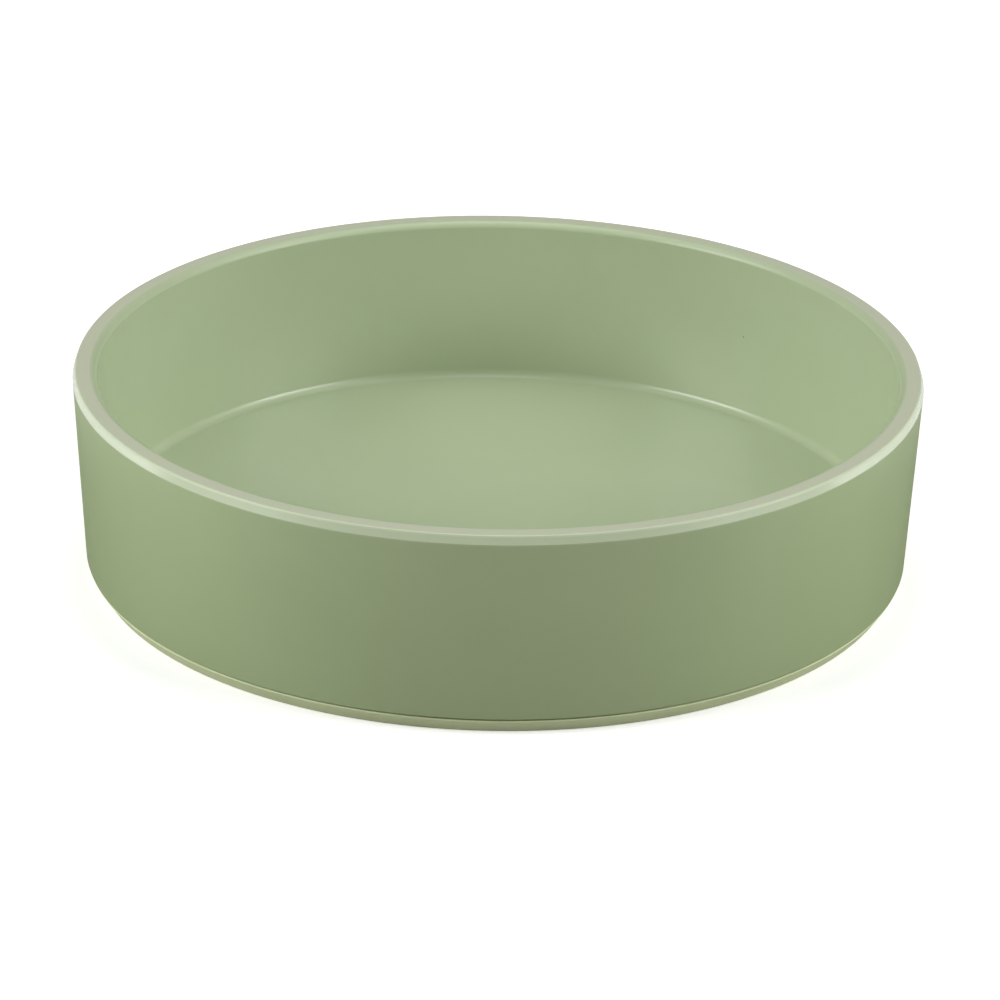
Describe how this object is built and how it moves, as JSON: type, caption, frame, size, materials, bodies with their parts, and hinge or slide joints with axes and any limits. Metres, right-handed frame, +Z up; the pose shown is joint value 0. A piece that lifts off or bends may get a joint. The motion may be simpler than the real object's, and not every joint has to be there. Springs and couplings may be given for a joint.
{
  "type": "mixing bowl",
  "caption": "Round, shallow mixing bowl with straight, slightly tapered walls, a bevelled rim and a soft non-slip foot ring pressed into a groove under the floor.",
  "frame": {"origin": "centre of the foot ring's sole, on the surface that the bowl stands on", "axes": "+Z up along the bowl's axis of symmetry, through the open mouth"},
  "size_m": [0.24, 0.24, 0.06],
  "materials": {
    "bowl_body": "satin sage green, moulded through",
    "foot_ring": "matte sage green silicone"
  },
  "bodies": {
    "root": {"bowl_body": "bowl_body", "foot_ring": "foot_ring"}
  },
  "joints": []
}
